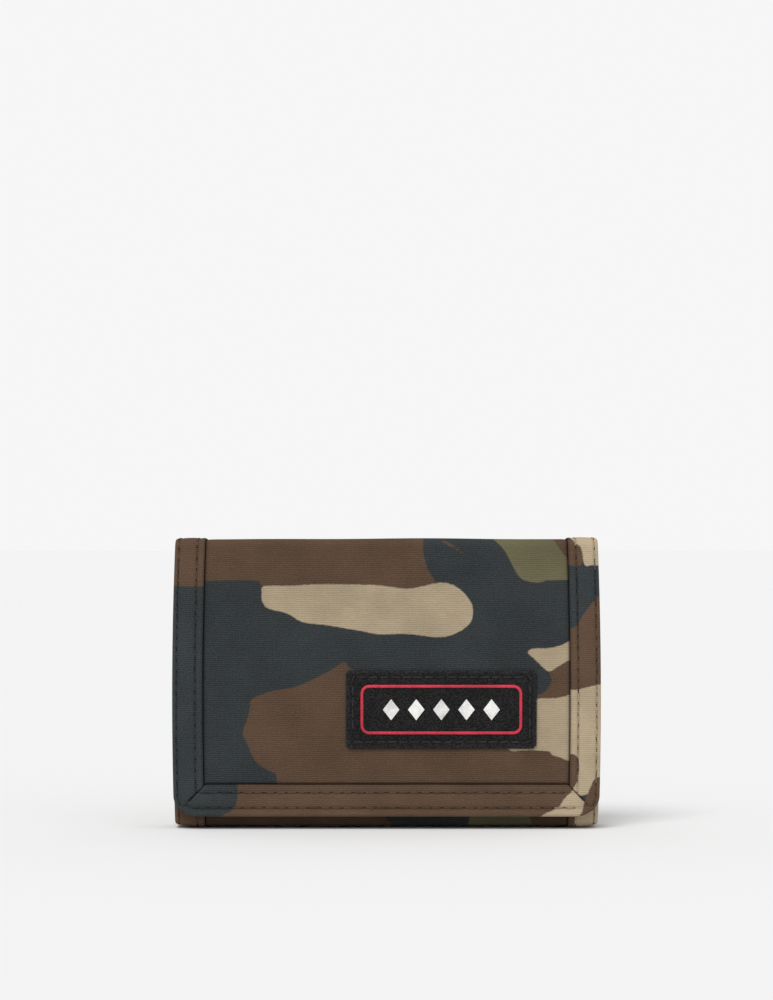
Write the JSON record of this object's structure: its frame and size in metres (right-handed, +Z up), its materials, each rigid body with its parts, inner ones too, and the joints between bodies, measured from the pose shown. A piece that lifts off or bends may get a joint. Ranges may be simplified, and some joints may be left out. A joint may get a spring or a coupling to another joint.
{
  "type": "trifold wallet",
  "caption": "Trifold fabric wallet with a hook-and-loop flap, card slots, an identity window and a zipped coin pocket; its panels open on two folds.",
  "frame": {"origin": "middle of the footprint's box, on the face that the wallet stands on", "axes": "+X along the width, +Y from the front flap to the back, +Z up"},
  "size_m": [0.13, 0.0228, 0.0885],
  "materials": {
    "camo_fabric": "ribbed woven camouflage canvas, matt",
    "camo_binding": "self-fabric binding with two stitch rows, matt",
    "lining_fabric": "plain woven nylon, faint sheen",
    "stiffener_board": "plain sheet",
    "pocket_fabric": "plain woven nylon, faint sheen",
    "clear_film": "clear, slightly rippled",
    "hook_tape": "moulded hook pile",
    "loop_tape": "brushed loop pile",
    "zip_tape": "herringbone woven tape",
    "zip_coil": "moulded coil, semi-gloss",
    "zip_metal": "gunmetal plate, worn at its edges",
    "label_leather": "coarse grained, embossed",
    "label_red": "raised printed rubber, satin",
    "label_white": "raised printed rubber, satin"
  },
  "bodies": {
    "back": {"back_shell": "camo_fabric", "bottom_spine_shell": "camo_fabric", "back_hem_left": "camo_binding", "back_hem_right": "camo_binding", "bottom_spine_hem_left": "camo_binding", "bottom_spine_hem_right": "camo_binding", "back_lining": "lining_fabric", "bottom_spine_lining": "lining_fabric", "back_board": "stiffener_board", "note_divider": "pocket_fabric", "back_slot_1": "pocket_fabric", "back_slot_2": "pocket_fabric", "back_slot_3": "pocket_fabric", "coin_pouch": "pocket_fabric", "zip_tape_upper": "zip_tape", "zip_tape_lower": "zip_tape", "zip_teeth_upper": "zip_coil", "zip_teeth_lower": "zip_coil", "zip_stop_left": "zip_metal", "zip_stop_right": "zip_metal"},
    "top_spine": {"top_spine_shell": "camo_fabric", "top_spine_hem_left": "camo_binding", "top_spine_hem_right": "camo_binding", "top_spine_lining": "lining_fabric"},
    "flap": {"flap_shell": "camo_fabric", "flap_hem_left": "camo_binding", "flap_hem_right": "camo_binding", "flap_hem_edge": "camo_binding", "flap_lining": "lining_fabric", "flap_board": "stiffener_board", "id_window_frame": "pocket_fabric", "id_window_film": "clear_film", "hook_strip": "hook_tape", "label_patch": "label_leather", "label_border": "label_red", "label_marks": "label_white"},
    "lower_panel": {"lower_shell": "camo_fabric", "lower_hem_left": "camo_binding", "lower_hem_right": "camo_binding", "lower_hem_edge": "camo_binding", "lower_lining": "lining_fabric", "lower_board": "stiffener_board", "lower_slot_1": "pocket_fabric", "lower_slot_2": "pocket_fabric", "loop_strip": "loop_tape"},
    "slider": {"zip_slider": "zip_metal"},
    "puller": {"zip_puller": "zip_metal"}
  },
  "joints": [
    {"name": "top_fold", "type": "hinge", "parent": "back", "child": "top_spine", "pos_m": [0, 0.00852, 0.088], "axis": [-1, 0, 0], "range_deg": [0, 90]},
    {"name": "flap_fold", "type": "hinge", "parent": "top_spine", "child": "flap", "pos_m": [0, -0.01018, 0.088], "axis": [-1, 0, 0], "range_deg": [0, 90]},
    {"name": "lower_fold", "type": "hinge", "parent": "back", "child": "lower_panel", "pos_m": [0, -0.00538, 0.0013], "axis": [1, 0, 0], "range_deg": [0, 90]},
    {"name": "zip_slide", "type": "slide", "parent": "back", "child": "slider", "axis": [-1, 0, 0], "range_m": [0, 0.0838]},
    {"name": "puller_swing", "type": "hinge", "parent": "slider", "child": "puller", "pos_m": [0.0419, 0.01045, 0.0669], "axis": [0, 0, -1], "range_deg": [0, 175]}
  ],
  "couplings": [
    {"joint": "flap_fold", "follows": "top_fold", "ratio": 1},
    {"joint": "lower_fold", "follows": "top_fold", "ratio": 1}
  ]
}
